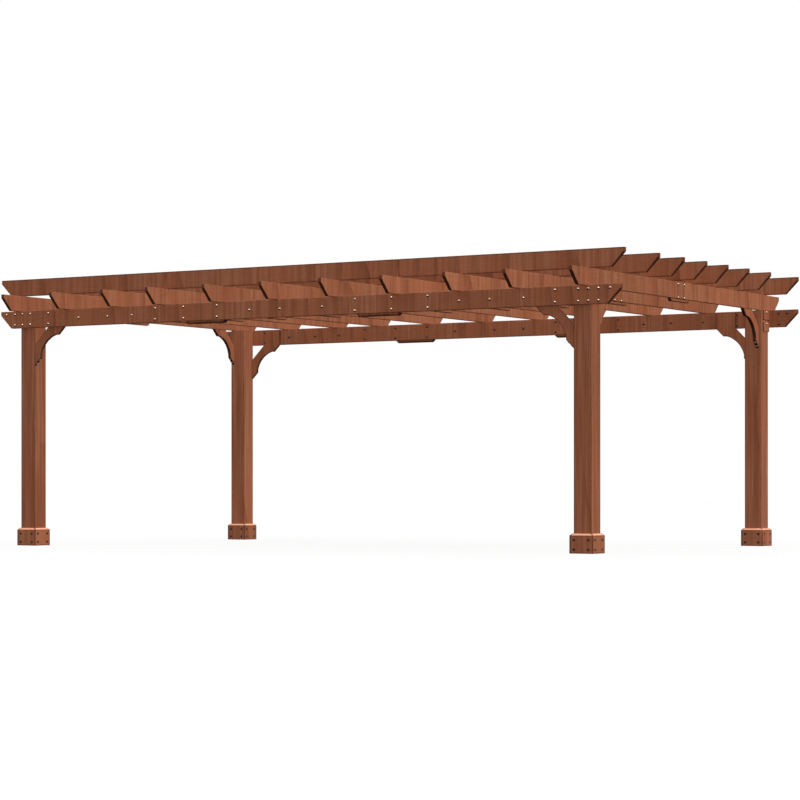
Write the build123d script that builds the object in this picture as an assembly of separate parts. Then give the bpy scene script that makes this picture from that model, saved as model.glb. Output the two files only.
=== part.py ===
from build123d import *
import os

os.makedirs("parts", exist_ok=True)

# Free-standing timber pergola: four posts, two long beams, eleven rafters
# across them and eight purlins along the top. Millimetres, +Z up, floor at 0.

# posts and their boxed bases; the frame stands a little to the left under
# the long boards
POST = 152
POST_X = 2720
POST_SHIFT = -36
POST_Y = 1572
POST_EASE = 3
BASE_BOARD = 24
BASE_H = 153
BASE_CHAMFER = 16

# heights of the three roof layers
BEAM_BOTTOM = 1890
BEAM_H = 148
SEAT_DEPTH = 6
SEAT_PLAY = 1
RAFTER_H = 137
PURLIN_H = 145

# beams
BEAM_T = 38
BEAM_HALF = 3028
BEAM_SEAM = 850

# rafters: the end ones stand a little outside the post centres, the others
# are spaced by hand between them
RAFTER_T = 30
RAFTER_HALF = 1924
RAFTER_OUT_LEFT = 52
RAFTER_OUT_RIGHT = 44
RAFTER_GAPS = (528, 552, 472, 580, 568, 579, 573, 575, 537, 572)

# purlins
PURLIN_T = 32
PURLIN_HALF = 3044
PURLIN_Y = (202, 616, 1055, 1640)

# square part left above each 45 degree end cut
END_FLAT = 33

# splice plates behind the beams and beside the rafters
PLATE_T = 38
PLATE_HALF = 205
PLATE_DROP = 22
PLATE_CORNER = 20
PLATE_GAP = 4
RAFTER_PLATE_T = 30
RAFTER_PLATE_HALF = 180

# curved braces, both legs alike
BRACE_T = 24
BRACE_LEG = 328
BRACE_OPEN = 146
BRACE_LIP = 66
BRACE_STEP = 30
BRACE_MIDDLE = 126

# pairs of cleats on the outer side faces of the back posts
CLEAT_T = 12
CLEAT_W = 116
CLEAT_H = 84
CLEAT_DROP = 98

BEAM_TOP = BEAM_BOTTOM + BEAM_H
RAFTER_BOTTOM = BEAM_TOP - SEAT_DEPTH
RAFTER_TOP = RAFTER_BOTTOM + RAFTER_H
PURLIN_TOP = RAFTER_TOP + PURLIN_H
POST_FACE_X = POST_X - POST / 2
POST_FACE_Y = POST_Y - POST / 2
BEAM_Y = POST_Y + POST / 2 + BEAM_T / 2


def save(shape, name):
    shape.label = name
    export_step(shape, "parts/" + name + ".step")


def along_x(points, y, thick):
    """Board whose outline lies in X and Z, centred on y."""
    plane = Plane.XZ.offset(-y)
    face = make_face(Polyline(*points, close=True))
    return extrude(plane * face, amount=thick / 2, both=True)


def along_y(points, x, thick):
    """Board whose outline lies in Y and Z, centred on x."""
    plane = Plane.YZ.offset(x)
    face = make_face(Polyline(*points, close=True))
    return extrude(plane * face, amount=thick / 2, both=True)


def cut_end(end, sign, bottom, top):
    """Outline points of one board end, top corner first."""
    back = top - bottom - END_FLAT
    return [(end, top), (end, top - END_FLAT), (end - sign * back, bottom)]


def plate_outline(middle, half, bottom, top):
    """Splice plate outline with clipped lower corners."""
    c = PLATE_CORNER
    return [
        (middle - half, top),
        (middle - half, bottom + c),
        (middle - half + c, bottom),
        (middle + half - c, bottom),
        (middle + half, bottom + c),
        (middle + half, top),
    ]


def brace_outline(rise):
    """Brace face: p runs out from the post, q runs up from the beam bottom."""
    lip = BRACE_LIP
    step = BRACE_LEG - BRACE_LIP
    arc_end = step - BRACE_STEP
    points = [(lip, -arc_end), (lip, -step), (0, -BRACE_LEG), (0, -BRACE_OPEN), (BRACE_OPEN, 0)]
    if rise > 0:
        points = points + [(BRACE_OPEN, rise), (BRACE_LEG, rise)]
    points = points + [(BRACE_LEG, 0), (step, -lip), (arc_end, -lip)]
    arc = ThreePointArc((arc_end, -lip), (BRACE_MIDDLE, -BRACE_MIDDLE), (lip, -arc_end))
    return make_face(Polyline(*points) + arc)


# posts and bases
post_top = RAFTER_BOTTOM
corners = {"fl": (-1, -1), "fr": (1, -1), "bl": (-1, 1), "br": (1, 1)}
for tag, (sx, sy) in corners.items():
    place = Location((POST_SHIFT + sx * POST_X, sy * POST_Y, 0))
    post = extrude(Rectangle(POST, POST), amount=post_top)
    post = chamfer(post.edges().filter_by(Axis.Z), POST_EASE)
    save(place * post, "post_" + tag)

    side = POST + 2 * BASE_BOARD
    base = extrude(Rectangle(side, side), amount=BASE_H)
    base = chamfer(base.faces().sort_by(Axis.Z)[-1].edges(), BASE_CHAMFER)
    base = base - extrude(Rectangle(POST, POST), amount=BASE_H)
    save(place * base, "base_" + tag)

# braces under the beams
brace_rise = BEAM_H - SEAT_DEPTH - PLATE_GAP
for tag, (sx, sy) in corners.items():
    face = brace_outline(brace_rise)
    if sx > 0:
        face = mirror(face, about=Plane.YZ)
    y = sy * (POST_Y + POST / 2 - BRACE_T / 2)
    start = (POST_SHIFT + sx * POST_FACE_X, y, BEAM_BOTTOM)
    plane = Plane(origin=start, x_dir=(1, 0, 0), z_dir=(0, -1, 0))
    save(extrude(plane * face, amount=BRACE_T / 2, both=True), "brace_x_" + tag)

# beams, each of three boards joined end to end
for tag, sy in (("front", -1), ("back", 1)):
    y = sy * BEAM_Y
    left = -BEAM_HALF
    right = BEAM_HALF
    outline = [(-BEAM_SEAM, BEAM_TOP)] + cut_end(left, -1, BEAM_BOTTOM, BEAM_TOP)
    outline = outline + [(-BEAM_SEAM, BEAM_BOTTOM)]
    save(along_x(outline, y, BEAM_T), "beam_" + tag + "_l")
    outline = [(BEAM_SEAM, BEAM_TOP)] + cut_end(right, 1, BEAM_BOTTOM, BEAM_TOP)
    outline = outline + [(BEAM_SEAM, BEAM_BOTTOM)]
    save(along_x(outline, y, BEAM_T), "beam_" + tag + "_r")
    middle = [
        (-BEAM_SEAM, BEAM_BOTTOM),
        (BEAM_SEAM, BEAM_BOTTOM),
        (BEAM_SEAM, BEAM_TOP),
        (-BEAM_SEAM, BEAM_TOP),
    ]
    save(along_x(middle, y, BEAM_T), "beam_" + tag + "_m")
    plate_y = y + BEAM_T / 2 + PLATE_T / 2
    for end, seam in (("l", -BEAM_SEAM), ("r", BEAM_SEAM)):
        outline = plate_outline(seam, PLATE_HALF, BEAM_BOTTOM - PLATE_DROP, RAFTER_BOTTOM - PLATE_GAP)
        save(along_x(outline, plate_y, PLATE_T), "plate_" + tag + "_" + end)

# cleats, one under the rafter seat and one below it
for tag, sx in (("bl", -1), ("br", 1)):
    x = POST_SHIFT + sx * (POST_X + POST / 2 + CLEAT_T / 2)
    y = POST_Y + POST / 2 - CLEAT_W / 2
    cleats = []
    for drop in (0, CLEAT_DROP):
        cleat = Box(CLEAT_T, CLEAT_W, CLEAT_H)
        cleats.append(Pos(x, y, RAFTER_BOTTOM - drop - CLEAT_H / 2) * cleat)
    save(Compound(children=cleats), "cleats_" + tag)

# rafters, notched over both beams, with a splice plate at mid length
first_rafter = POST_SHIFT - POST_X - RAFTER_OUT_LEFT
last_rafter = POST_SHIFT + POST_X + RAFTER_OUT_RIGHT
gap_scale = (last_rafter - first_rafter) / sum(RAFTER_GAPS)
rafter_x = [first_rafter]
for gap in RAFTER_GAPS:
    rafter_x.append(rafter_x[-1] + gap * gap_scale)
for number, x in enumerate(rafter_x, start=1):
    outline = cut_end(-RAFTER_HALF, -1, RAFTER_BOTTOM, RAFTER_TOP)
    outline = outline + cut_end(RAFTER_HALF, 1, RAFTER_BOTTOM, RAFTER_TOP)[::-1]
    rafter = along_y(outline, x, RAFTER_T)
    for sy in (-1, 1):
        notch = Box(RAFTER_T + 2 * SEAT_PLAY, BEAM_T + 2 * SEAT_PLAY, 2 * SEAT_DEPTH)
        rafter = rafter - Pos(x, sy * BEAM_Y, RAFTER_BOTTOM) * notch
    bottom = RAFTER_BOTTOM - PLATE_DROP
    plate = plate_outline(0, RAFTER_PLATE_HALF, bottom, RAFTER_TOP - PLATE_GAP)
    plate_x = x - RAFTER_T / 2 - RAFTER_PLATE_T / 2
    rafter = rafter + along_y(plate, plate_x, RAFTER_PLATE_T)
    save(rafter, "rafter_%02d" % number)

# braces under the end rafters
for tag, (sx, sy) in corners.items():
    face = brace_outline(0)
    if sy > 0:
        face = mirror(face, about=Plane.YZ)
    x = rafter_x[0] if sx < 0 else rafter_x[-1]
    plane = Plane(origin=(x, sy * POST_FACE_Y, RAFTER_BOTTOM), x_dir=(0, 1, 0), z_dir=(1, 0, 0))
    save(extrude(plane * face, amount=RAFTER_T / 2, both=True), "brace_y_" + tag)

# purlins
purlin_y = [-y for y in PURLIN_Y[::-1]] + list(PURLIN_Y)
for number, y in enumerate(purlin_y, start=1):
    outline = cut_end(-PURLIN_HALF, -1, RAFTER_TOP, PURLIN_TOP)
    outline = outline + cut_end(PURLIN_HALF, 1, RAFTER_TOP, PURLIN_TOP)[::-1]
    save(along_x(outline, y, PURLIN_T), "purlin_%d" % number)
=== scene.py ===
import math

import bpy
import numpy as np
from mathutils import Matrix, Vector


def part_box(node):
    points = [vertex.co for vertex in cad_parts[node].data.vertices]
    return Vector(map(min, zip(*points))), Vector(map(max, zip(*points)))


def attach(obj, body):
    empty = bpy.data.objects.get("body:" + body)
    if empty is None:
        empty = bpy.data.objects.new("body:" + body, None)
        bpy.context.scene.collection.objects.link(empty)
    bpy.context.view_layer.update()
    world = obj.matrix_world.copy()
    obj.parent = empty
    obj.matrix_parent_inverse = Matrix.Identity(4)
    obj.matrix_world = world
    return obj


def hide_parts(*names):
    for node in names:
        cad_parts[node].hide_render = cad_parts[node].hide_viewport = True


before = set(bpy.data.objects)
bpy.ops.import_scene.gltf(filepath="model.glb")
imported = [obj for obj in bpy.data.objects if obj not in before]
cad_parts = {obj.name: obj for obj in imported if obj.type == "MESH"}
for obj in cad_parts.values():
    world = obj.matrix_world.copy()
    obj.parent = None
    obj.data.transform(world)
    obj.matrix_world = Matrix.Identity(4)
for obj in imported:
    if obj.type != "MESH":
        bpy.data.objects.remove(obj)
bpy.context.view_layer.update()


# Posts: four solid softwood posts, planed square with their corners eased by a few
# millimetres and stained red-brown all over. They stand inside the boxed bases, and
# beams, braces and end rafters are bolted or screwed to them.

POST_CORNER = 0.005
POST_EASE = 0.0015
POST_WORN_BAND = 0.011
POST_WEAR = 0.5

ROUND_AT_MOST = 0.3
BAND_AT_MOST = 0.45


def ring(corners, inset, radius, band):
    """One closed ring of an outline, and how much each of its points lies on a sharp corner.

    Each corner C moves inwards by inset * (n1 + n2) / (1 + n1.n2), where n1 and n2 are the inward
    normals of its two edges. It is then rounded by (1-t)^2 A + 2t(1-t) C + t^2 B, where A and B
    lie a radius before and after it, and one more point a band away on each side keeps the rest flat.
    The radius and the band take no more than their greatest share of an edge.
    """
    run = np.roll(corners, -1, axis=0) - corners
    run = run / np.linalg.norm(run, axis=1, keepdims=True)
    normal = np.stack([-run[:, 1], run[:, 0]], axis=1)
    before = np.roll(normal, 1, axis=0)
    turn = (normal * before).sum(axis=1, keepdims=True)
    moved = corners + inset * (normal + before) / (1 + turn)

    out = np.roll(moved, -1, axis=0) - moved
    out_length = np.linalg.norm(out, axis=1, keepdims=True)
    back_length = np.roll(out_length, 1, axis=0)
    out = out / out_length
    back = -np.roll(out, 1, axis=0)
    near = np.minimum(radius, ROUND_AT_MOST * np.minimum(out_length, back_length))
    start = moved + back * near
    end = moved + out * near
    points = [
        moved + back * np.minimum(band, BAND_AT_MOST * back_length),
        start,
        (start + 2 * moved + end) / 4,
        end,
        moved + out * np.minimum(band, BAND_AT_MOST * out_length),
    ]
    sharp = np.clip(2 * (1 - turn[:, 0]), 0, 1)
    flat = np.zeros_like(sharp)
    edge_dark = np.stack([flat, sharp, sharp, sharp, flat], axis=1)
    return np.stack(points, axis=1).reshape(-1, 2), edge_dark.reshape(-1)


ROUND_AT_LEAST = 0.0004
BAND_IN_THICKNESS = 0.8


def board(corners, low, high, ease=0.003, band=0.008, corner=0.002):
    """Points, faces and edge darkening of one closed board, from its outline and the two ends of its
    thickness.

    The rings of the outline are carried through the thickness. Ring k lies inset[k] inside the
    outline at depth[k], which turns the arrises by a quarter circle of radius ease. A flat face
    closes the first and the last ring.
    """
    corners = np.array(corners, float)
    ahead = np.roll(corners, -1, axis=0)
    area = (corners[:, 0] * ahead[:, 1] - ahead[:, 0] * corners[:, 1]).sum()
    corners = corners if area > 0 else corners[::-1]
    half = (high - low) / 2
    band = min(band, BAND_IN_THICKNESS * half)
    lean = ease * (1 - math.sqrt(0.5))
    inset = (band, ease, lean, 0, 0, 0, 0, lean, ease, band)
    upper = (half, half, half - lean, half - ease, half - band)
    depth = upper + tuple(-d for d in upper[::-1])
    edge = (0, 1, 1, 1, 0, 0, 1, 1, 1, 0)

    rings = [ring(corners, inward, max(corner - inward, ROUND_AT_LEAST), band) for inward in inset]
    count = len(rings[0][0])
    points = [
        np.column_stack([xy, np.full(count, d + (high + low) / 2)])
        for (xy, _), d in zip(rings, depth)
    ]
    edge_dark = [np.maximum(w, e) for (_, w), e in zip(rings, edge)]
    edge_dark[0] = edge_dark[-1] = np.zeros(count)
    here = np.arange(len(inset) * count).reshape(len(inset), count)
    after = np.roll(here, -1, axis=1)
    quads = np.stack([here[:-1], here[1:], after[1:], after[:-1]], axis=2).reshape(-1, 4)
    faces = quads.tolist() + [here[0].tolist(), here[-1][::-1].tolist()]
    return np.concatenate(points), faces, np.concatenate(edge_dark)


TONE_SEED = 11
PITH_REACH = 0.09
CUT_FACING = 0.5

tone_draw = np.random.default_rng(TONE_SEED)

# order of columns that turns outline u, outline v and thickness into x, y and z
LIES_IN_XY = (0, 1, 2)
LIES_IN_XZ = (0, 2, 1)


def timber(name, boards, order, grain, material):
    """One object of several closed boards, with the attributes that the stain reads.

    arris is how dark the eased edges are, from wear and on some boards painted shade, tone is one draw
    for each board, pith is a point near the middle of the tree that the board came from, and cut is 1
    on faces across the grain. The order x, z, y is left-handed and turns a board inside out, so its
    faces are turned round.
    """
    points, faces, edge_dark, tone, pith = [], [], [], [], []
    start = 0
    for part_points, part_faces, part_edge_dark in boards:
        placed = part_points[:, order]
        count = len(placed)
        points.append(placed)
        faces += [[start + i for i in face] for face in part_faces]
        edge_dark.append(part_edge_dark)
        tone.append(np.full(count, tone_draw.uniform()))
        heart = placed.mean(axis=0) + tone_draw.uniform(-PITH_REACH, PITH_REACH, 3)
        pith.append(np.tile(heart, (count, 1)))
        start += count
    if order == LIES_IN_XZ:
        faces = [face[::-1] for face in faces]
    mesh = bpy.data.meshes.new(name)
    mesh.from_pydata(np.concatenate(points).tolist(), [], faces)
    mesh.shade_smooth()
    for label, values in (("arris", edge_dark), ("tone", tone)):
        attribute = mesh.attributes.new(label, "FLOAT", "POINT")
        attribute.data.foreach_set("value", np.concatenate(values))
    attribute = mesh.attributes.new("pith", "FLOAT_VECTOR", "POINT")
    attribute.data.foreach_set("vector", np.concatenate(pith).ravel())
    normals = np.zeros(len(mesh.polygons) * 3)
    mesh.polygons.foreach_get("normal", normals)
    across = np.abs(normals.reshape(-1, 3) @ np.array(grain, float)) > CUT_FACING
    attribute = mesh.attributes.new("cut", "FLOAT", "FACE")
    attribute.data.foreach_set("value", across.astype(float))
    mesh.materials.append(material)
    piece = bpy.data.objects.new(name, mesh)
    bpy.context.collection.objects.link(piece)
    return piece


def node_group(name, inputs, outputs):
    """An empty shader node group with its sockets, and its input and output nodes."""
    group = bpy.data.node_groups.new(name, "ShaderNodeTree")
    kinds = {"value": "NodeSocketFloat", "vector": "NodeSocketVector"}
    for label, kind in inputs:
        group.interface.new_socket(label, in_out="INPUT", socket_type=kinds[kind])
    for label, kind in outputs:
        group.interface.new_socket(label, in_out="OUTPUT", socket_type=kinds[kind])
    return group, group.nodes.new("NodeGroupInput").outputs, group.nodes.new("NodeGroupOutput").inputs


def feed(tree, socket, value):
    """Links a socket into another one, or sets a plain value on it."""
    if isinstance(value, bpy.types.NodeSocket):
        tree.links.new(value, socket)
    else:
        socket.default_value = value


def maths(tree, operation, *values):
    """Output of one Math node that is fed with sockets or numbers."""
    node = tree.nodes.new("ShaderNodeMath")
    node.operation = operation
    for socket, value in zip(node.inputs, values):
        feed(tree, socket, value)
    return node.outputs[0]


def vector_maths(tree, operation, *values):
    """Output of one Vector Math node that is fed with sockets or vectors."""
    node = tree.nodes.new("ShaderNodeVectorMath")
    node.operation = operation
    for socket, value in zip(node.inputs, values):
        feed(tree, socket, value)
    single = operation in ("DOT_PRODUCT", "LENGTH")
    return node.outputs["Value" if single else "Vector"]


def vector_of(tree, x, y, z):
    """Output of one Combine XYZ node."""
    node = tree.nodes.new("ShaderNodeCombineXYZ")
    for socket, value in zip(node.inputs, (x, y, z)):
        feed(tree, socket, value)
    return node.outputs[0]


def z_of(tree, vector):
    """Z part of a vector."""
    node = tree.nodes.new("ShaderNodeSeparateXYZ")
    feed(tree, node.inputs[0], vector)
    return node.outputs["Z"]


def coordinates(tree, kind="Object"):
    """Output of one Texture Coordinate node."""
    return tree.nodes.new("ShaderNodeTexCoord").outputs[kind]


def spread(tree, value, low, high, to_low=0.0, to_high=1.0):
    """Map Range of a value, kept within its new limits."""
    node = tree.nodes.new("ShaderNodeMapRange")
    for socket, number in zip(node.inputs, (value, low, high, to_low, to_high)):
        feed(tree, socket, number)
    return node.outputs[0]


def noise(tree, vector, scale, detail, low=0.0, high=1.0):
    """Noise over a vector, spread so that low becomes 0 and high becomes 1."""
    node = tree.nodes.new("ShaderNodeTexNoise")
    feed(tree, node.inputs["Vector"], vector)
    node.inputs["Scale"].default_value = scale
    node.inputs["Detail"].default_value = detail
    return spread(tree, node.outputs[0], low, high)


def blend_colours(tree, mask, first, second, kind="MIX"):
    """Mix of two colours by a mask."""
    node = tree.nodes.new("ShaderNodeMix")
    node.data_type = "RGBA"
    node.blend_type = kind
    for label, value in (("Factor_Float", mask), ("A_Color", first), ("B_Color", second)):
        socket = next(s for s in node.inputs if s.identifier == label)
        feed(tree, socket, value)
    return next(s for s in node.outputs if s.identifier == "Result_Color")


def attribute_value(tree, label, output="Fac"):
    """Output of one Attribute node."""
    node = tree.nodes.new("ShaderNodeAttribute")
    node.attribute_name = label
    return node.outputs[output]


TONE_STEP = 53.0
STREAK_STRETCH = (42.0, 1.1, 1.0)
PATCH_STRETCH = (3.4, 1.1, 1.0)
WARP_STRETCH = (1.7, 0.35, 1.0)
FLAMES_A_METRE = 3.4
FLAME_SLANT = 0.12
FLAME_WARP = 3.6
FLAME_POWER = 3.0


def make_sawn_figure():
    """Masks of the figure of stained softwood, from Object coordinates.

    s is the distance along a horizontal board or round a post, and z is the height. Streaks are
    noise that is stretched upwards, and patches are wide noise. A flame is the fractional part of
    FLAMES_A_METRE * (s + FLAME_SLANT * z) plus a warp, raised to a power: it darkens slowly and
    ends at a sharp edge. Grain is fine noise stretched along the fibres.
    """
    group, given, result = node_group(
        "sawn_figure",
        [("Along", "vector"), ("Across", "vector"), ("Tone", "value"), ("Fibres", "vector")],
        [("Streak", "value"), ("Patch", "value"), ("Flame", "value"), ("Grain", "value")],
    )
    place = coordinates(group)
    along = vector_maths(group, "DOT_PRODUCT", place, given["Along"])
    across = vector_maths(group, "DOT_PRODUCT", place, given["Across"])
    up = z_of(group, place)
    own = maths(group, "MULTIPLY_ADD", given["Tone"], TONE_STEP, across)
    local = vector_of(group, along, up, own)

    narrow = vector_maths(group, "MULTIPLY", local, STREAK_STRETCH)
    feed(group, result["Streak"], noise(group, narrow, scale=1.0, detail=3.0, low=0.33, high=0.67))
    wide = vector_maths(group, "MULTIPLY", local, PATCH_STRETCH)
    patch = noise(group, wide, scale=1.0, detail=2.0, low=0.38, high=0.62)
    feed(group, result["Patch"], patch)

    broad = vector_maths(group, "MULTIPLY", local, WARP_STRETCH)
    warp = maths(group, "MULTIPLY", noise(group, broad, scale=1.0, detail=1.0), FLAME_WARP)
    leaning = maths(group, "MULTIPLY_ADD", up, FLAME_SLANT, along)
    phase = maths(group, "MULTIPLY_ADD", leaning, FLAMES_A_METRE, warp)
    saw = maths(group, "POWER", maths(group, "FRACT", phase), FLAME_POWER)
    feed(group, result["Flame"], maths(group, "MULTIPLY", saw, patch))

    fine = vector_maths(group, "MULTIPLY", local, given["Fibres"])
    feed(group, result["Grain"], noise(group, fine, scale=1.0, detail=4.0, low=0.3, high=0.7))
    return group


RING_NOISE = 16.0
RING_WARP = 0.014


def make_end_rings():
    """Growth rings on a sawn end: the sine of the distance from the pith, warped by noise."""
    group, given, result = node_group(
        "end_rings",
        [("Across", "vector"), ("Spacing", "value")],
        [("Ring", "value"), ("Cut", "value")],
    )
    place = coordinates(group)
    away = vector_maths(group, "SUBTRACT", place, attribute_value(group, "pith", "Vector"))
    across = vector_maths(group, "DOT_PRODUCT", away, given["Across"])
    distance = vector_maths(group, "LENGTH", vector_of(group, across, z_of(group, away), 0.0))
    warp = noise(group, place, scale=RING_NOISE, detail=2.0)
    warped = maths(group, "MULTIPLY_ADD", warp, RING_WARP, distance)
    turns = maths(group, "DIVIDE", warped, given["Spacing"])
    feed(group, result["Ring"], spread(group, maths(group, "SINE", turns), low=-0.6, high=0.9))
    feed(group, result["Cut"], attribute_value(group, "cut"))
    return group


ARRIS_NOISE = 9.0
ARRIS_LEAST = 0.55


def make_dark_arris():
    """Where an eased edge is darker, from wear and on some boards painted shade: the arris attribute to a
    power, broken up by noise.
    """
    group, given, result = node_group("dark_arris", [("Breadth", "value")], [("Mask", "value")])
    soft = maths(group, "POWER", attribute_value(group, "arris"), given["Breadth"])
    broken = noise(group, coordinates(group), scale=ARRIS_NOISE, detail=3.0, low=0.25, high=0.6)
    kept = spread(group, broken, 0.0, 1.0, ARRIS_LEAST, 1.0)
    feed(group, result["Mask"], maths(group, "MULTIPLY", soft, kept))
    return group


sawn_figure = make_sawn_figure()
end_rings = make_end_rings()
dark_arris = make_dark_arris()


def use_group(tree, group, **values):
    """Places a node group in a tree, with its input values or links, and returns its outputs."""
    node = tree.nodes.new("ShaderNodeGroup")
    node.node_tree = group
    for label, value in values.items():
        feed(tree, node.inputs[label], value)
    return node.outputs


# colour of the dark eased edges: wear on most boards, painted shade on the lower edges of plates and
# cleats and on the brace edges
EDGE_STAIN_AND_SHADE = (0.022, 0.008, 0.004, 1)
EDGE_DEPTH = 0.92
END_PALE = (0.15, 0.052, 0.026, 1)
END_DARK = (0.075, 0.024, 0.012, 1)
RING_SPACING = 0.0011
RED_SHARE = 0.55
FLAME_SHADES = (1.06, 0.72)
BOARD_SHADES = (0.93, 1.07)
FIBRE_SHADES = (0.93, 1.07)
UPWARD_FROM = (0.35, 0.6)
WOOD_ROUGHNESS = (0.92, 0.78)
WOOD_SPECULAR = 0.05
STREAK_HEIGHT = 0.4
FIBRE_HEIGHT = 0.6
RING_HEIGHT = 0.5
BUMP_DEPTH = 0.0008
BUMP_STRENGTH = 0.6


def stained_wood(name, light, dark, red, lie, fibres, edge_spread=1.1, painted_top_light=None):
    """Matt red-brown stain over softwood, with streaks, red patches, flames, dark arrises and end grain;
    the dark arrises are wear, and painted shade on the edges of plates, cleats and braces.

    lie holds the directions along and across the wood, and fibres is how close the fine grain
    stands along, up and across. Where a painted top light colour is given, faces that look upwards have
    it: a painted highlight.
    """
    material = bpy.data.materials.new(name)
    material.use_nodes = True
    tree = material.node_tree
    shader = tree.nodes["Principled BSDF"]
    along, across = lie
    tone = attribute_value(tree, "tone")
    figure = use_group(tree, sawn_figure, Along=along, Across=across, Tone=tone, Fibres=fibres)
    rings = use_group(tree, end_rings, Across=across, Spacing=RING_SPACING)
    arris = use_group(tree, dark_arris, Breadth=edge_spread)

    colour = blend_colours(tree, figure["Streak"], dark, light)
    colour = blend_colours(tree, maths(tree, "MULTIPLY", figure["Patch"], RED_SHARE), colour, red)
    shade = spread(tree, figure["Flame"], 0.0, 1.0, *FLAME_SHADES)
    shade = maths(tree, "MULTIPLY", shade, spread(tree, tone, 0.0, 1.0, *BOARD_SHADES))
    shade = maths(tree, "MULTIPLY", shade, spread(tree, figure["Grain"], 0.0, 1.0, *FIBRE_SHADES))
    grey = vector_of(tree, shade, shade, shade)
    colour = blend_colours(tree, 1.0, colour, grey, "MULTIPLY")
    end_colour = blend_colours(tree, rings["Ring"], END_PALE, END_DARK)
    colour = blend_colours(tree, rings["Cut"], colour, end_colour)
    # painted highlight: a paler colour on faces that look upwards
    if painted_top_light:
        upward = spread(tree, z_of(tree, coordinates(tree, "Normal")), *UPWARD_FROM)
        colour = blend_colours(tree, upward, colour, painted_top_light)
    # darker eased edges: wear, and painted shade where a board's edges lie in shade
    darkened = maths(tree, "MULTIPLY", arris["Mask"], EDGE_DEPTH)
    colour = blend_colours(tree, darkened, colour, EDGE_STAIN_AND_SHADE)
    feed(tree, shader.inputs["Base Color"], colour)

    rough = spread(tree, figure["Streak"], 0.0, 1.0, *WOOD_ROUGHNESS)
    feed(tree, shader.inputs["Roughness"], rough)
    shader.inputs["Specular IOR Level"].default_value = WOOD_SPECULAR
    height = maths(tree, "MULTIPLY", figure["Streak"], STREAK_HEIGHT)
    height = maths(tree, "MULTIPLY_ADD", figure["Grain"], FIBRE_HEIGHT, height)
    sawn_end = maths(tree, "MULTIPLY", rings["Ring"], rings["Cut"])
    height = maths(tree, "MULTIPLY_ADD", sawn_end, RING_HEIGHT, height)
    bump = tree.nodes.new("ShaderNodeBump")
    bump.inputs["Distance"].default_value = BUMP_DEPTH
    bump.inputs["Strength"].default_value = BUMP_STRENGTH
    feed(tree, bump.inputs["Height"], height)
    feed(tree, shader.inputs["Normal"], bump.outputs[0])
    return material


# directions along and across the wood, for a pattern that goes round a square post
ROUND_THE_POST = ((1.0, 1.0, 0.0), (0.707, -0.707, 0.0))

post_stain = stained_wood(
    "post_stain",
    light=(0.302, 0.118, 0.064, 1),
    dark=(0.192, 0.065, 0.029, 1),
    red=(0.269, 0.082, 0.038, 1),
    lie=ROUND_THE_POST,
    fibres=(150.0, 5.0, 150.0),
)

corner_tags = ("fl", "fr", "bl", "br")
for tag in corner_tags:
    low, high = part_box("post_" + tag)
    square = [(low.x, low.y), (high.x, low.y), (high.x, high.y), (low.x, high.y)]
    points, faces, edge_dark = board(square, low.z, high.z, POST_EASE, POST_WORN_BAND, POST_CORNER)
    trunk = (points, faces, edge_dark * POST_WEAR)
    post = timber("post_%s_timber" % tag, [trunk], LIES_IN_XY, (0, 0, 1), post_stain)
    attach(post, "root")
    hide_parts("post_" + tag)


# Bases: four trim boards round each foot, mitred at the corners and bevelled along the
# top, of the same stained softwood. Four screws hold each board, the faces that look
# upwards are painted paler as a painted highlight, and the joint line stays open by a
# hair at each corner.

BASE_BOARD = 0.024
BASE_BEVEL = 0.016
BASE_JOINT = 0.0008
BASE_ROUNDING = 0.0025
BASE_EDGE_BAND = 0.008
BASE_CORNER_BAND = 0.017


def mitred_board(profile, half, turn):
    """One trim board of a square box: its section carried between two mitre planes.

    At the section's point (r, z) the board reaches half + r - joint to each side of the middle.
    Columns a band short of the ends keep the worn corners narrow. The board is then turned by a
    whole number of quarter turns about the post.
    """
    section, section_edge_dark = ring(np.array(profile), 0.0, BASE_ROUNDING, BASE_EDGE_BAND)
    reach = half + section[:, 0] - BASE_JOINT
    short = reach - BASE_CORNER_BAND
    side = np.stack([-reach, -short, short, reach])
    out = np.tile(half + section[:, 0], (4, 1))
    up = np.tile(section[:, 1], (4, 1))
    cosine, sine = math.cos(turn * math.pi / 2), math.sin(turn * math.pi / 2)
    points = np.stack([side * cosine + out * sine, side * sine - out * cosine, up], axis=2)
    end_edge_dark = np.array([1, 0, 0, 1])[:, None]
    edge_dark = np.maximum(end_edge_dark, section_edge_dark[None, :])
    count = len(section)
    here = np.arange(4 * count).reshape(4, count)
    after = np.roll(here, -1, axis=1)
    quads = np.stack([here[1:], after[1:], after[:-1], here[:-1]], axis=2).reshape(-1, 4)
    faces = quads.tolist() + [here[0].tolist(), here[-1][::-1].tolist()]
    return points.reshape(-1, 3), faces, edge_dark.reshape(-1)


base_stain = stained_wood(
    "base_stain",
    light=(0.316, 0.124, 0.067, 1),
    dark=(0.209, 0.072, 0.033, 1),
    red=(0.276, 0.087, 0.041, 1),
    lie=ROUND_THE_POST,
    fibres=(6.0, 170.0, 170.0),
    # paler colour of the bevel: a painted highlight
    painted_top_light=(0.62, 0.285, 0.175, 1),
)

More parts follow.
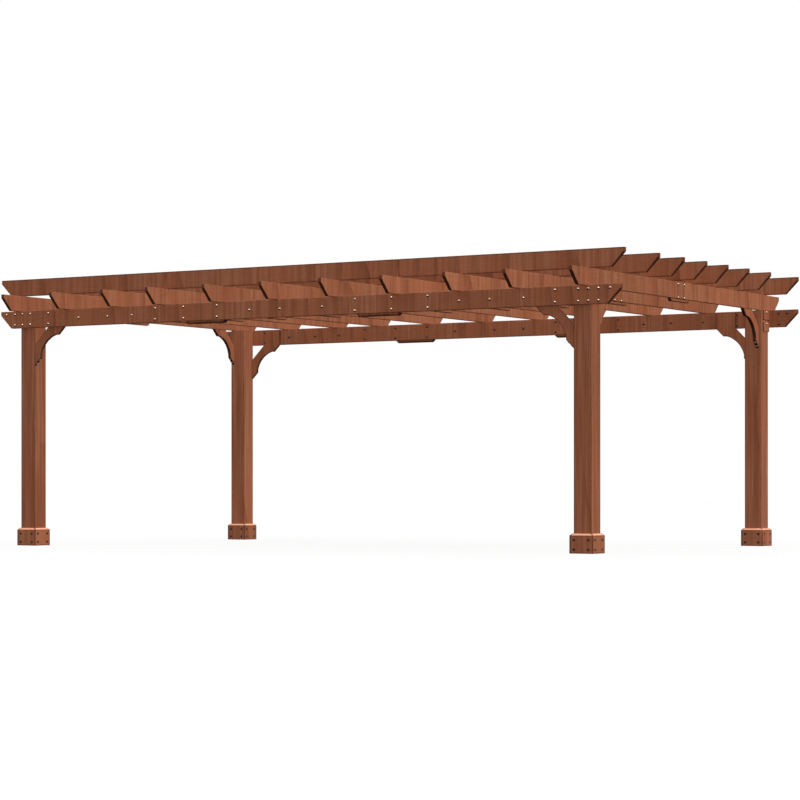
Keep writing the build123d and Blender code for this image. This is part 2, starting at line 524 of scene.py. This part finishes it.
for tag in corner_tags:
    low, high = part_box("base_" + tag)
    middle = np.array([(low.x + high.x) / 2, (low.y + high.y) / 2, 0])
    height = high.z
    inner_half = (high.x - low.x) / 2 - BASE_BOARD
    section = [
        (0, 0),
        (BASE_BOARD, 0),
        (BASE_BOARD, height - BASE_BEVEL),
        (BASE_BOARD - BASE_BEVEL, height),
        (0, height),
    ]
    trims = []
    for turn in range(4):
        points, faces, edge_dark = mitred_board(section, inner_half, turn)
        trims.append((points + middle, faces, edge_dark))
    base = timber("base_%s_timber" % tag, trims, LIES_IN_XY, (0, 0, 1), base_stain)
    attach(base, "root")
    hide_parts("base_" + tag)


# Long beams: three boards end to end on the outer face of each row of posts, of the
# same stained softwood, with the ends cut back at 45 degrees under a short square
# part. The joints close to a hair line over the splice plates.

END_FLAT = 0.033
BOARD_JOINT = 0.0008
JOINT_NEAR = 3 * BOARD_JOINT
BEAM_WEAR = (0.35, 0.1)

# directions along and across a board that stands on edge along x, and its fibres
EDGEWISE_X = ((1.0, 0.0, 0.0), (0.0, 1.0, 0.0))
BOARD_FIBRES = (5.0, 160.0, 160.0)

beam_stain = stained_wood(
    "beam_stain",
    light=(0.299, 0.116, 0.062, 1),
    dark=(0.209, 0.072, 0.033, 1),
    red=(0.269, 0.083, 0.038, 1),
    lie=EDGEWISE_X,
    fibres=BOARD_FIBRES,
)


def board_outline(left, right, bottom, top, left_cut, right_cut):
    """Side view of a board from left to right, with 45 degree cuts at the ends that have one."""
    back = top - bottom - END_FLAT
    outline = [(left + back * left_cut, bottom), (right - back * right_cut, bottom)]
    if right_cut:
        outline += [(right, top - END_FLAT)]
    outline += [(right, top), (left, top)]
    if left_cut:
        outline += [(left, top - END_FLAT)]
    return outline


def darken_edges(plank, upper, lower, *joints):
    """A board on edge with a share of its edge darkening above and below, and none where it closes on
    another; the darkening is wear, and painted shade on the lower edges of plates and cleats.
    """
    points, faces, edge_dark = plank
    share = np.where(points[:, 1] > points[:, 1].mean(), upper, lower)
    for joint in joints:
        share = np.where(np.abs(points[:, 0] - joint) < JOINT_NEAR, 0.0, share)
    return points, faces, edge_dark * share


for row in ("front", "back"):
    for part in ("l", "m", "r"):
        node = "beam_%s_%s" % (row, part)
        low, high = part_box(node)
        left = low.x if part == "l" else low.x + BOARD_JOINT
        right = high.x if part == "r" else high.x - BOARD_JOINT
        outline = board_outline(left, right, low.z, high.z, part == "l", part == "r")
        plank = darken_edges(board(outline, low.y, high.y), *BEAM_WEAR, left, right)
        beam = timber(node + "_timber", [plank], LIES_IN_XZ, (1, 0, 0), beam_stain)
        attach(beam, "root")
        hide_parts(node)


# Splice plates: short lengths of the same board behind each beam joint, a little
# lower than the beam, with their lower corners clipped. They are bolted through. Their
# lower edges are painted near black, a painted shadow of the beam in front of them.

PLATE_CORNER = 0.020
# a broad dark band and full share on the lower edge: painted shadow over the strip that shows under the
# beam
PLATE_BAND = 0.018
PLATE_WEAR_AND_SHADE = (0.1, 1.0)

plate_stain = stained_wood(
    "plate_stain",
    light=(0.269, 0.102, 0.053, 1),
    dark=(0.181, 0.060, 0.027, 1),
    red=(0.242, 0.073, 0.034, 1),
    lie=EDGEWISE_X,
    fibres=BOARD_FIBRES,
    # wide spread of the dark edges, for the painted shadow on the lower strip
    edge_spread=0.3,
)


def plate_outline(left, right, bottom, top):
    """Oblong with its two lower corners clipped."""
    return [
        (left + PLATE_CORNER, bottom),
        (right - PLATE_CORNER, bottom),
        (right, bottom + PLATE_CORNER),
        (right, top),
        (left, top),
        (left, bottom + PLATE_CORNER),
    ]


for row in ("front", "back"):
    for part in ("l", "r"):
        node = "plate_%s_%s" % (row, part)
        low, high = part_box(node)
        outline = plate_outline(low.x, high.x, low.z, high.z)
        block = darken_edges(board(outline, low.y, high.y, band=PLATE_BAND), *PLATE_WEAR_AND_SHADE)
        plate = timber(node + "_timber", [block], LIES_IN_XZ, (1, 0, 0), plate_stain)
        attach(plate, "root")
        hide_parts(node)


# Braces: curved and stepped corner braces, sawn from one board each. Four run from
# post to beam, flush with the posts' outer faces, and four from post to end rafter.
# Both tips are cut at 45 degrees, and the lower tip is screwed.

BRACE_LEG = 0.328
BRACE_OPEN = 0.146
BRACE_LIP = 0.066
BRACE_STEP = 0.030
BRACE_MIDDLE = 0.126
BRACE_ARC_STEPS = 15
# how dark the brace edges are painted: painted shade in the corner between post and beam and under the arc
BRACE_EDGE_SHADE = 0.75
BRACE_FIBRES = (120.0, 9.0, 120.0)
BRACE_GRAIN = {"x": (0.707, 0.0, 0.707), "y": (0.0, 0.707, 0.707)}

# directions, and order of columns, of a board that stands on edge along y
EDGEWISE_Y = ((0.0, 1.0, 0.0), (1.0, 0.0, 0.0))
LIES_IN_YZ = (2, 0, 1)

brace_stain = {
    "x": stained_wood(
        "brace_x_stain",
        light=(0.290, 0.111, 0.059, 1),
        dark=(0.202, 0.069, 0.032, 1),
        red=(0.262, 0.081, 0.037, 1),
        lie=EDGEWISE_X,
        fibres=BRACE_FIBRES,
    ),
    "y": stained_wood(
        "brace_y_stain",
        light=(0.296, 0.116, 0.061, 1),
        dark=(0.209, 0.072, 0.033, 1),
        red=(0.269, 0.083, 0.038, 1),
        lie=EDGEWISE_Y,
        fibres=BRACE_FIBRES,
    ),
}


def brace_outline(rise):
    """Brace seen from its face: p runs out from the post and q up from the underside it meets.

    The arc passes through (a, -l), (m, -m) and (l, -a). Its centre is (c, -c), with
    c = (a^2 + l^2 - 2 m^2) / (2 a + 2 l - 4 m).
    """
    step = BRACE_LEG - BRACE_LIP
    arc_end = step - BRACE_STEP
    squares = arc_end**2 + BRACE_LIP**2 - 2 * BRACE_MIDDLE**2
    middle = squares / (2 * (arc_end + BRACE_LIP) - 4 * BRACE_MIDDLE)
    radius = math.sqrt(2) * (middle - BRACE_MIDDLE)
    first = math.atan2(middle - BRACE_LIP, arc_end - middle)
    angle = np.linspace(first, 1.5 * math.pi - first, BRACE_ARC_STEPS)
    arc = np.stack([middle + radius * np.cos(angle), radius * np.sin(angle) - middle], axis=1)
    head = [(BRACE_OPEN, rise), (BRACE_LEG, rise)] if rise > 0 else []
    tail = [(BRACE_LIP, -step), (0, -BRACE_LEG), (0, -BRACE_OPEN), (BRACE_OPEN, 0)]
    return arc.tolist() + tail + head + [(BRACE_LEG, 0), (step, -BRACE_LIP)]


SAME_PLANE = 0.0001


def shaded_edges(piece):
    """A brace whose edges, the curved and slanting ones among them, are painted darker than its faces:
    painted shade.
    """
    points, faces, edge_dark = piece
    depth = np.abs(points[:, 2] - points[:, 2].mean())
    return points, faces, np.where(depth < depth.max() - SAME_PLANE, BRACE_EDGE_SHADE, BRACE_EDGE_SHADE * edge_dark)


beam_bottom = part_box("beam_front_l")[0].z
for tag in corner_tags:
    side_x = -1 if tag[1] == "l" else 1
    side_y = -1 if tag[0] == "f" else 1
    post_low, post_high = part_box("post_" + tag)

    low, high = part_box("brace_x_" + tag)
    face = post_high.x if side_x < 0 else post_low.x
    outline = np.array(brace_outline(high.z - beam_bottom))
    outline = outline * (-side_x, 1) + (face, beam_bottom)
    piece = shaded_edges(board(outline, low.y, high.y))
    brace = timber("brace_x_%s_timber" % tag, [piece], LIES_IN_XZ, BRACE_GRAIN["x"], brace_stain["x"])
    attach(brace, "root")
    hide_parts("brace_x_" + tag)

    low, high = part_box("brace_y_" + tag)
    face = post_high.y if side_y < 0 else post_low.y
    outline = np.array(brace_outline(0)) * (-side_y, 1) + (face, high.z)
    piece = shaded_edges(board(outline, low.x, high.x))
    brace = timber("brace_y_%s_timber" % tag, [piece], LIES_IN_YZ, BRACE_GRAIN["y"], brace_stain["y"])
    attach(brace, "root")
    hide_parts("brace_y_" + tag)


# Cleats: two small softwood blocks on the outer side of each back post, one right
# under the rafter and one below it, each held by one bolt near its top.

CLEAT_HEIGHT = 0.084
CLEAT_EASE = 0.002
CLEAT_BAND = 0.012
# the lower edge of each block is painted near black: a painted shadow band under it
CLEAT_WEAR_AND_SHADE = (0.4, 1.0)

for tag in ("bl", "br"):
    low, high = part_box("cleats_" + tag)
    blocks = []
    for bottom, top in ((high.z - CLEAT_HEIGHT, high.z), (low.z, low.z + CLEAT_HEIGHT)):
        outline = [(low.y, bottom), (high.y, bottom), (high.y, top), (low.y, top)]
        blocks.append(darken_edges(board(outline, low.x, high.x, CLEAT_EASE, CLEAT_BAND), *CLEAT_WEAR_AND_SHADE))
    cleats = timber("cleats_%s_timber" % tag, blocks, LIES_IN_YZ, (0, 1, 0), brace_stain["y"])
    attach(cleats, "root")
    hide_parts("cleats_" + tag)


# Rafters: eleven across the beams, each of two softwood boards that meet in the middle
# beside a bolted splice plate on their left. They sit over both beams in shallow
# notches, and their tails have the same 45 degree cuts.

RAFTER_T = 0.030
RAFTER_SEAT = 0.006
RAFTER_PLATE_HALF = 0.180
RAFTER_PLATE_GAP = 0.004
NOTCH_PLAY = 0.001
RAFTER_WEAR = (0.3, 0.1)
# the splice plate's lower edge is painted near black: a painted shadow under the rafter
SPLICE_WEAR_AND_SHADE = (0.3, 1.0)

rafter_stain = stained_wood(
    "rafter_stain",
    light=(0.302, 0.119, 0.063, 1),
    dark=(0.212, 0.073, 0.034, 1),
    red=(0.276, 0.086, 0.040, 1),
    lie=EDGEWISE_Y,
    fibres=BOARD_FIBRES,
)


def notch(outline, near, far, bottom):
    """Adds a seat notch to the lower edge of a board, between near and far."""
    seat = [(near, bottom), (near, bottom + RAFTER_SEAT), (far, bottom + RAFTER_SEAT), (far, bottom)]
    return outline[:1] + seat + outline[1:]


rafter_nodes = sorted(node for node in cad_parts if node.startswith("rafter_"))
front_low, front_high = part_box("beam_front_l")
back_low, back_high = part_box("beam_back_l")
rafter_bottom = front_high.z - RAFTER_SEAT
for node in rafter_nodes:
    low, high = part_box(node)
    near_half = board_outline(low.y, -BOARD_JOINT, rafter_bottom, high.z, True, False)
    near_half = notch(near_half, front_low.y - NOTCH_PLAY, front_high.y + NOTCH_PLAY, rafter_bottom)
    far_half = board_outline(BOARD_JOINT, high.y, rafter_bottom, high.z, False, True)
    far_half = notch(far_half, back_low.y - NOTCH_PLAY, back_high.y + NOTCH_PLAY, rafter_bottom)
    splice = plate_outline(-RAFTER_PLATE_HALF, RAFTER_PLATE_HALF, low.z, high.z - RAFTER_PLATE_GAP)
    boards = [
        darken_edges(board(near_half, high.x - RAFTER_T, high.x), *RAFTER_WEAR, -BOARD_JOINT),
        darken_edges(board(far_half, high.x - RAFTER_T, high.x), *RAFTER_WEAR, BOARD_JOINT),
        darken_edges(board(splice, low.x, high.x - RAFTER_T), *SPLICE_WEAR_AND_SHADE),
    ]
    rafter = timber(node + "_timber", boards, LIES_IN_YZ, (0, 1, 0), rafter_stain)
    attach(rafter, "root")
    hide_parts(node)


# Purlins: eight thin softwood boards on edge across the rafters, each of three lengths
# that meet over the fourth and the eighth rafter, with the same end cuts. Their upper
# edges have gone the darkest of all.

PURLIN_BAND = 0.013
PURLIN_WEAR = (1.0, 0.05)

purlin_stain = stained_wood(
    "purlin_stain",
    light=(0.296, 0.115, 0.062, 1),
    dark=(0.205, 0.070, 0.032, 1),
    red=(0.266, 0.082, 0.038, 1),
    lie=EDGEWISE_X,
    fibres=BOARD_FIBRES,
)

joint_rafters = (rafter_nodes[3], rafter_nodes[7])
joints = [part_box(node)[1].x - RAFTER_T / 2 for node in joint_rafters]
purlin_nodes = sorted(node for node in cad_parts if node.startswith("purlin_"))
for node in purlin_nodes:
    low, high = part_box(node)
    stops = [low.x, joints[0], joints[1], high.x]
    boards = []
    for part in range(3):
        first, last = part == 0, part == 2
        left = stops[part] if first else stops[part] + BOARD_JOINT
        right = stops[part + 1] if last else stops[part + 1] - BOARD_JOINT
        outline = board_outline(left, right, low.z, high.z, first, last)
        boards.append(darken_edges(board(outline, low.y, high.y, band=PURLIN_BAND), *PURLIN_WEAR, left, right))
    purlin = timber(node + "_timber", boards, LIES_IN_XZ, (1, 0, 0), purlin_stain)
    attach(purlin, "root")
    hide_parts(node)


# Beam bolts: zinc-plated dome heads on round washers, driven through the beams into
# posts, braces and splice plates, with nuts on the inner side. The washers are dark,
# partly rust and partly painted shade under the heads, and the undersides of the heads
# are painted in shade.

# heights over the beam's underside of the bolts in pairs and of those that stand alone
PAIR_HEIGHTS = (0.120, 0.027)
SINGLE_HEIGHT = 0.070
BOLT_PAIRS = {
    "front": (
        -2.869, -2.787, -2.700, -2.499, -1.346, -1.051, -0.708,
        0.651, 0.995, 1.331, 2.466, 2.667, 2.753, 2.839,
    ),
    "back": (
        -2.869, -2.787, -2.700, -2.524, -1.386, -1.041, -0.695,
        0.673, 0.995, 1.308, 2.478, 2.667, 2.753, 2.861,
    ),
}
BOLT_SINGLES = {
    "front": (-2.165, -1.853, -1.593, -0.379, -0.077, 0.337, 1.617, 1.892, 2.193),
    "back": (-2.254, -1.951, -1.676, -0.393, 0.035, 0.338, 1.564, 1.828, 2.143),
}
TIP_BOLTS = (-2.964, 2.938)
BOLT_CLEAR = 0.012

# height and radius of each ring, from the washer's foot to the middle of the crown
DOME = (
    (0.0, 0.0115),
    (0.0014, 0.0115),
    (0.0018, 0.0074),
    (0.0040, 0.0072),
    (0.0060, 0.0056),
    (0.0072, 0.0032),
    (0.0076, 0.0003),
)
DOME_SIDES = 16
NUT = (
    (0.0, 0.0115),
    (0.0014, 0.0115),
    (0.0018, 0.0085),
    (0.0075, 0.0085),
    (0.0077, 0.0048),
    (0.0115, 0.0046),
    (0.0119, 0.0003),
)
NUT_SIDES = 12
HEAD_SUNK = 0.001
CROWN_WITHIN = 0.9
ASKEW = (0.1, 0.2, 1.0)


def turned_heads(name, centres, axes, profile, sides, material):
    """One mesh of many like heads, each the profile (height, radius) turned about its own axis.

    The point for height h, radius r and angle a is centre + h * axis + r * (cos a * e + sin a * f),
    where e and f are square to the axis. The first ring is sunk, and flat faces close both ends.
    crown is 1 on the points that stand inside the washer.
    """
    centres = np.array(centres, float)
    axes = np.array(axes, float)
    axes = axes / np.linalg.norm(axes, axis=1, keepdims=True)
    first = np.cross(axes, ASKEW)
    first = first / np.linalg.norm(first, axis=1, keepdims=True)
    second = np.cross(axes, first)
    height, radius = np.array(profile).T
    angle = np.arange(sides) * 2 * math.pi / sides
    height = height - HEAD_SUNK * (np.arange(len(height)) == 0)
    spoke = np.cos(angle)[:, None, None] * first + np.sin(angle)[:, None, None] * second
    points = (
        centres[:, None, None, :]
        + height[None, :, None, None] * axes[:, None, None, :]
        + radius[None, :, None, None] * spoke.transpose(1, 0, 2)[:, None, :, :]
    )
    heads, rings = len(centres), len(height)
    here = np.arange(heads * rings * sides).reshape(heads, rings, sides)
    after = np.roll(here, -1, axis=2)
    quads = np.stack([here[:, :-1], after[:, :-1], after[:, 1:], here[:, 1:]], axis=3).reshape(-1, 4)
    caps = here[:, 0, ::-1].tolist() + here[:, -1].tolist()
    mesh = bpy.data.meshes.new(name)
    mesh.from_pydata(points.reshape(-1, 3).tolist(), [], quads.tolist() + caps)
    mesh.shade_smooth()
    crown = np.tile((radius < radius[0] * CROWN_WITHIN)[None, :, None], (heads, 1, sides)).astype(float)
    attribute = mesh.attributes.new("crown", "FLOAT", "POINT")
    attribute.data.foreach_set("value", crown.ravel())
    mesh.materials.append(material)
    piece = bpy.data.objects.new(name, mesh)
    bpy.context.collection.objects.link(piece)
    return piece


SPECK_SCALE = 160.0
SPECK_SHARE = 0.35
UNDER_FROM = (0.15, -0.15)
ZINC_ROUGHNESS = (0.48, 0.75)
ZINC_SPECULAR = 0.08


def weathered_and_shaded_zinc(name, bright, washer, underside_shade, metallic):
    """Zinc plate with one colour on the crown of a head, one on its washer and a painted shade where it
    looks down.
    """
    material = bpy.data.materials.new(name)
    material.use_nodes = True
    tree = material.node_tree
    shader = tree.nodes["Principled BSDF"]
    # painted shade on faces that look down, with no metal shine there
    under = spread(tree, z_of(tree, coordinates(tree, "Normal")), *UNDER_FROM)
    speck = noise(tree, coordinates(tree), scale=SPECK_SCALE, detail=3.0, low=0.45, high=0.75)
    crown = attribute_value(tree, "crown")
    colour = blend_colours(tree, crown, washer, bright)
    colour = blend_colours(tree, maths(tree, "MULTIPLY", speck, SPECK_SHARE), colour, washer)
    colour = blend_colours(tree, under, colour, underside_shade)
    feed(tree, shader.inputs["Base Color"], colour)
    if metallic > 0:
        unshaded_crown = maths(tree, "MULTIPLY", crown, maths(tree, "SUBTRACT", 1.0, under))
        feed(tree, shader.inputs["Metallic"], maths(tree, "MULTIPLY", unshaded_crown, metallic))
    feed(tree, shader.inputs["Roughness"], spread(tree, speck, 0.0, 1.0, *ZINC_ROUGHNESS))
    shader.inputs["Specular IOR Level"].default_value = ZINC_SPECULAR
    return material


# near-black washers: rust and painted shade under the heads; near-black undersides of heads: painted shade
WASHER_RUST_AND_SHADE = (0.035, 0.016, 0.010, 1)
HEAD_UNDERSIDE_SHADE = (0.025, 0.011, 0.007, 1)

head_zinc = weathered_and_shaded_zinc(
    "head_zinc",
    bright=(0.66, 0.49, 0.40, 1),
    washer=WASHER_RUST_AND_SHADE,
    underside_shade=HEAD_UNDERSIDE_SHADE,
    metallic=0.9,
)
# the nuts are painted near black, a painted shade for their place on the inner side of beams and plates
nut_zinc = weathered_and_shaded_zinc(
    "nut_zinc",
    bright=(0.11, 0.045, 0.028, 1),
    washer=WASHER_RUST_AND_SHADE,
    underside_shade=HEAD_UNDERSIDE_SHADE,
    metallic=0.15,
)


def seat(row, x, side):
    """Face of the outermost board on one side of a beam at x, or None on a post or a board's edge."""
    low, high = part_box("beam_%s_m" % row)
    middle = (low.y + high.y) / 2
    face = high.y if side > 0 else low.y
    near = ["plate_%s_l" % row, "plate_%s_r" % row]
    near += ["%s_%s%s" % (kind, row[0], end) for kind in ("brace_x", "post") for end in "lr"]
    for node in near:
        low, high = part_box(node)
        if ((low.y + high.y) / 2 - middle) * side < 0:
            continue
        if low.x - BOLT_CLEAR < x < high.x + BOLT_CLEAR:
            if node.startswith("post") or not low.x + BOLT_CLEAR < x < high.x - BOLT_CLEAR:
                return None
            face = high.y if side > 0 else low.y
    return face


for row, outward in (("front", -1), ("back", 1)):
    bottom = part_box("beam_%s_m" % row)[0].z
    places = [(x, bottom + up) for x in BOLT_PAIRS[row] for up in PAIR_HEIGHTS]
    places += [(x, bottom + SINGLE_HEIGHT) for x in BOLT_SINGLES[row]]
    places += [(x, bottom + PAIR_HEIGHTS[0]) for x in TIP_BOLTS]
    heads = [(x, seat(row, x, outward), z) for x, z in places]
    axes = [(0, outward, 0)] * len(heads)
    bolts = turned_heads("beam_bolts_" + row, heads, axes, DOME, DOME_SIDES, head_zinc)
    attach(bolts, "root")
    ends = [(x, seat(row, x, -outward), z) for x, z in places]
    ends = [end for end in ends if end[1] is not None]
    axes = [(0, -outward, 0)] * len(ends)
    nuts = turned_heads("beam_nuts_" + row, ends, axes, NUT, NUT_SIDES, nut_zinc)
    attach(nuts, "root")


# Rafter bolts: four of the same bolts through each rafter and its splice plate, two
# on either side of the joint, with heads on the right and nuts on the plate.

SPLICE_BOLT_Y = (-0.102, 0.010)
SPLICE_BOLT_DROP = (0.021, 0.129)

heads, ends = [], []
for node in rafter_nodes:
    low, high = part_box(node)
    places = [(y, high.z - drop) for y in SPLICE_BOLT_Y for drop in SPLICE_BOLT_DROP]
    heads += [(high.x, y, z) for y, z in places]
    ends += [(low.x, y, z) for y, z in places]
splice_bolts = turned_heads("splice_bolts", heads, [(1, 0, 0)] * len(heads), DOME, DOME_SIDES, head_zinc)
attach(splice_bolts, "root")
splice_nuts = turned_heads("splice_nuts", ends, [(-1, 0, 0)] * len(ends), NUT, NUT_SIDES, nut_zinc)
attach(splice_nuts, "root")


# Cleat bolts: one of the same bolts near the top of each cleat, driven into the post
# from its outer side, so that only the head shows.

CLEAT_BOLT_DROP = 0.016

heads, axes = [], []
for tag, side in (("bl", -1), ("br", 1)):
    low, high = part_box("cleats_" + tag)
    face = low.x if side < 0 else high.x
    middle = (low.y + high.y) / 2
    for top in (high.z, low.z + CLEAT_HEIGHT):
        heads.append((face, middle, top - CLEAT_BOLT_DROP))
        axes.append((side, 0, 0))
cleat_bolts = turned_heads("cleat_bolts", heads, axes, DOME, DOME_SIDES, head_zinc)
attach(cleat_bolts, "root")


# Screws: zinc-plated, with flat heads. Two go into the cut lower tip of every brace,
# and four into the face of each trim board of the bases, where their heads are nearly black.

TIP_SCREW = ((0.0, 0.0095), (0.0015, 0.0095), (0.003, 0.0088), (0.004, 0.0062), (0.0042, 0.0003))
BASE_SCREW = ((0.0, 0.0125), (0.0006, 0.0125), (0.0010, 0.0088), (0.0014, 0.0062), (0.0015, 0.0003))
SCREW_SIDES = 12
TIP_SCREW_SHARES = (0.28, 0.74)
BASE_SCREW_SIDE = 0.062
BASE_SCREW_HEIGHTS = (0.032, 0.105)

screw_zinc = weathered_and_shaded_zinc(
    "screw_zinc",
    bright=(0.66, 0.55, 0.49, 1),
    washer=WASHER_RUST_AND_SHADE,
    underside_shade=(0.50, 0.40, 0.35, 1),
    metallic=0.9,
)
screw_black = weathered_and_shaded_zinc(
    "screw_black",
    bright=(0.060, 0.032, 0.027, 1),
    washer=(0.105, 0.040, 0.024, 1),
    underside_shade=HEAD_UNDERSIDE_SHADE,
    metallic=0.0,
)

heads, axes = [], []
for tag in corner_tags:
    side_x = -1 if tag[1] == "l" else 1
    side_y = -1 if tag[0] == "f" else 1
    post_low, post_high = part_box("post_" + tag)
    low_x, high_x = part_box("brace_x_" + tag)
    low_y, high_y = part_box("brace_y_" + tag)
    for share in TIP_SCREW_SHARES:
        out = BRACE_LIP * share
        tip = low_x.z + out
        face = post_high.x + out if side_x < 0 else post_low.x - out
        heads.append((face, (low_x.y + high_x.y) / 2, tip))
        axes.append((-side_x, 0, -1))
        tip = low_y.z + out
        face = post_high.y + out if side_y < 0 else post_low.y - out
        heads.append(((low_y.x + high_y.x) / 2, face, tip))
        axes.append((0, -side_y, -1))
tip_screws = turned_heads("brace_tip_screws", heads, axes, TIP_SCREW, SCREW_SIDES, screw_zinc)
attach(tip_screws, "root")

heads, axes = [], []
for tag in corner_tags:
    low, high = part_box("base_" + tag)
    middle = ((low.x + high.x) / 2, (low.y + high.y) / 2)
    half = (high.x - low.x) / 2
    for side in (-BASE_SCREW_SIDE, BASE_SCREW_SIDE):
        for up in BASE_SCREW_HEIGHTS:
            heads += [(middle[0] + side, middle[1] + turn * half, up) for turn in (-1, 1)]
            axes += [(0, -1, 0), (0, 1, 0)]
            heads += [(middle[0] + turn * half, middle[1] + side, up) for turn in (-1, 1)]
            axes += [(-1, 0, 0), (1, 0, 0)]
base_screws = turned_heads("base_screws", heads, axes, BASE_SCREW, SCREW_SIDES, screw_black)
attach(base_screws, "root")


# Floor: a wide pale studio floor that keeps the object's shadow. It shows nearly
# white, and is dark to diffuse light so that it throws no colour onto the undersides.

FLOOR_HALF = 60.0
FLOOR_GLOW = 0.145
FLOOR_SHOWN = 0.40
FLOOR_BOUNCE = 0.04

floor_mesh = bpy.data.meshes.new("floor")
floor_side = np.array([-FLOOR_HALF, FLOOR_HALF])
floor_x, floor_y = np.meshgrid(floor_side, floor_side)
floor_points = np.stack([floor_x, floor_y, np.zeros_like(floor_x)], axis=2).reshape(-1, 3)
floor_mesh.from_pydata(floor_points.tolist(), [], [(0, 1, 3, 2)])
floor = bpy.data.objects.new("floor", floor_mesh)
bpy.context.collection.objects.link(floor)

floor_paint = bpy.data.materials.new("floor_paint")
floor_paint.use_nodes = True
tree = floor_paint.node_tree
tree.nodes.clear()
path = tree.nodes.new("ShaderNodeLightPath").outputs
seen = maths(tree, "MAXIMUM", path["Is Camera Ray"], path["Is Glossy Ray"])
seen = maths(tree, "MAXIMUM", seen, path["Is Transmission Ray"])
matt = tree.nodes.new("ShaderNodeBsdfDiffuse")
shown = spread(tree, seen, 0.0, 1.0, FLOOR_BOUNCE, FLOOR_SHOWN)
feed(tree, matt.inputs["Color"], vector_of(tree, shown, shown, shown))
glow = tree.nodes.new("ShaderNodeEmission")
feed(tree, glow.inputs["Strength"], maths(tree, "MULTIPLY", seen, FLOOR_GLOW))
both = tree.nodes.new("ShaderNodeAddShader")
feed(tree, both.inputs[0], matt.outputs[0])
feed(tree, both.inputs[1], glow.outputs[0])
feed(tree, tree.nodes.new("ShaderNodeOutputMaterial").inputs["Surface"], both.outputs[0])
floor_mesh.materials.append(floor_paint)


# Light: three large, even studio screens high on the right, the front and behind on
# the left, so far off that every board of a side is lit alike, and a faint glow from
# all round that shades the joints and gives the floor its shadow.

# name, direction from the object and level of each screen
SCREENS = (
    ("screen_right", (1.0, -0.05, 0.95), 1.15),
    ("screen_front", (-0.10, -1.0, 0.95), 0.57),
    ("screen_back", (-0.7, 1.0, 0.90), 0.65),
)

# direction, level and width of each glow, which adds level * (width + 2) / 2 * cos(a) ^ width at an
# angle a from its direction
GLOWS = (
    ((1.0, -0.10, 0.6), 0.22, 4.0),
    ((-0.30, -1.0, 0.6), 0.15, 4.0),
    ((0.0, 0.0, 1.0), 0.30, 2.0),
    ((-0.8, 1.0, 0.6), 0.20, 3.0),
)

for name, towards, level in SCREENS:
    screen = bpy.data.lights.new(name, "SUN")
    screen.energy = level * math.pi
    screen.use_shadow = False
    lamp = bpy.data.objects.new(name, screen)
    lamp.rotation_euler = Vector(towards).to_track_quat("Z", "Y").to_euler()
    bpy.context.collection.objects.link(lamp)

world = bpy.data.worlds.new("studio")
bpy.context.scene.world = world
world.use_nodes = True
tree = world.node_tree
direction = coordinates(tree, "Generated")
total = 0.0
for towards, level, width in GLOWS:
    length = math.hypot(*towards)
    facing = vector_maths(tree, "DOT_PRODUCT", direction, tuple(part / length for part in towards))
    lobe = maths(tree, "POWER", maths(tree, "MAXIMUM", facing, 0.0), width)
    total = maths(tree, "MULTIPLY_ADD", lobe, level * (width + 2) / 2, total)
path = tree.nodes.new("ShaderNodeLightPath").outputs
seen = maths(tree, "MAXIMUM", path["Is Camera Ray"], path["Is Glossy Ray"])
seen = maths(tree, "MAXIMUM", seen, path["Is Transmission Ray"])
feed(tree, tree.nodes["Background"].inputs["Strength"], spread(tree, seen, 0.0, 1.0, total, 1.0))
tree.nodes["Background"].inputs["Color"].default_value = (1, 1, 1, 1)
bpy.context.scene.view_settings.view_transform = "Standard"


# Camera: a long lens, level, about half a metre above the floor and 22.5 m away to the
# front right. The picture is shifted up so that the frame sits as in the photograph.

PICTURE_SIDE = 800
HORIZON_PIXEL = 489
FOCAL_PIXELS = 2593.86
CAMERA_PAN = math.radians(31.81)
CAMERA_PLACE = (11.8912, -19.1208, 0.4912)
SENSOR_WIDTH = 36.0
SIGHT = 200.0

camera_data = bpy.data.cameras.new("camera")
camera_data.sensor_width = SENSOR_WIDTH
camera_data.lens = FOCAL_PIXELS / PICTURE_SIDE * SENSOR_WIDTH
camera_data.shift_y = (HORIZON_PIXEL - PICTURE_SIDE / 2) / PICTURE_SIDE
camera_data.clip_end = SIGHT
camera = bpy.data.objects.new("camera", camera_data)
camera.location = CAMERA_PLACE
camera.rotation_euler = (math.pi / 2, 0.0, CAMERA_PAN)
bpy.context.collection.objects.link(camera)
bpy.context.scene.camera = camera
